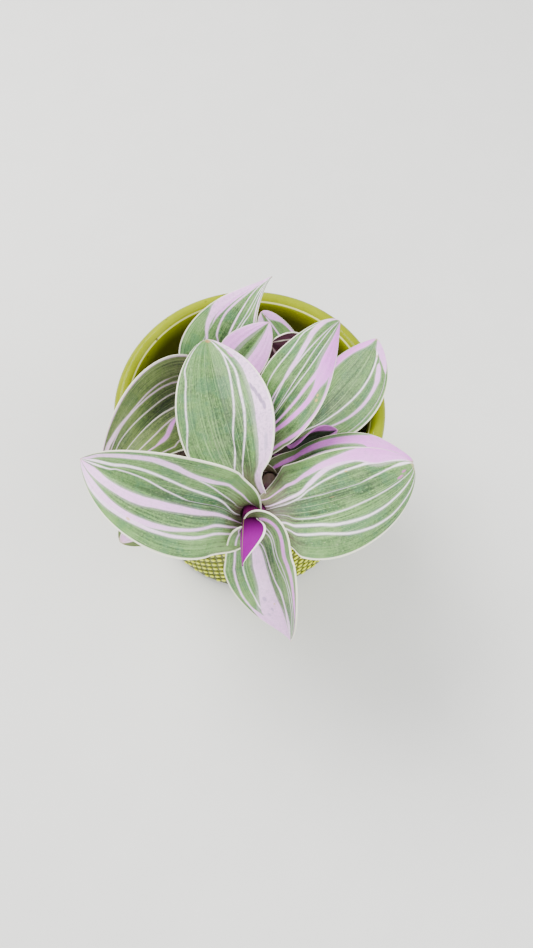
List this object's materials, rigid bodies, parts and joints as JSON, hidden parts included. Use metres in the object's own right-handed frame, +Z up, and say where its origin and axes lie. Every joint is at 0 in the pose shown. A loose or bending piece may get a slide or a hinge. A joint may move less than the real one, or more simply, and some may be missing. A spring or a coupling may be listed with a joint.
{
  "type": "potted tradescantia",
  "caption": "House plant with broad, pointed, pink-and-white striped leaves on trailing stems, rooted in soil in a round glazed pot whose wall is covered with small raised ovals",
  "frame": {"origin": "middle of the pot's flat base, where it stands on a table", "axes": "+Z is up, and -Z is the way the base faces. -Y is the side the tallest shoot leans to, which is the near side in the picture, and +X is the picture's right."},
  "size_m": [0.1277, 0.162, 0.166],
  "materials": {
    "glaze": "gloss",
    "compost": "matte",
    "stem": "satin",
    "leaf": "satin",
    "young_leaf": "satin"
  },
  "bodies": {
    "root": {"pot": "glaze", "soil": "compost", "front_stem": "stem", "right_stem": "stem", "back_stem": "stem", "rear_stem": "stem", "front_left_leaf": "leaf", "front_right_leaf": "leaf", "front_hanging_leaf": "leaf", "front_upright_leaf": "leaf", "front_low_right_leaf": "leaf", "front_low_left_leaf": "leaf", "right_long_leaf": "leaf", "right_broad_leaf": "leaf", "right_curled_leaf": "leaf", "back_tall_leaf": "leaf", "back_small_leaf": "leaf", "back_left_leaf": "leaf", "rear_upright_leaf": "leaf", "rear_sideways_leaf": "leaf", "front_rolled_leaf": "young_leaf"}
  },
  "joints": []
}
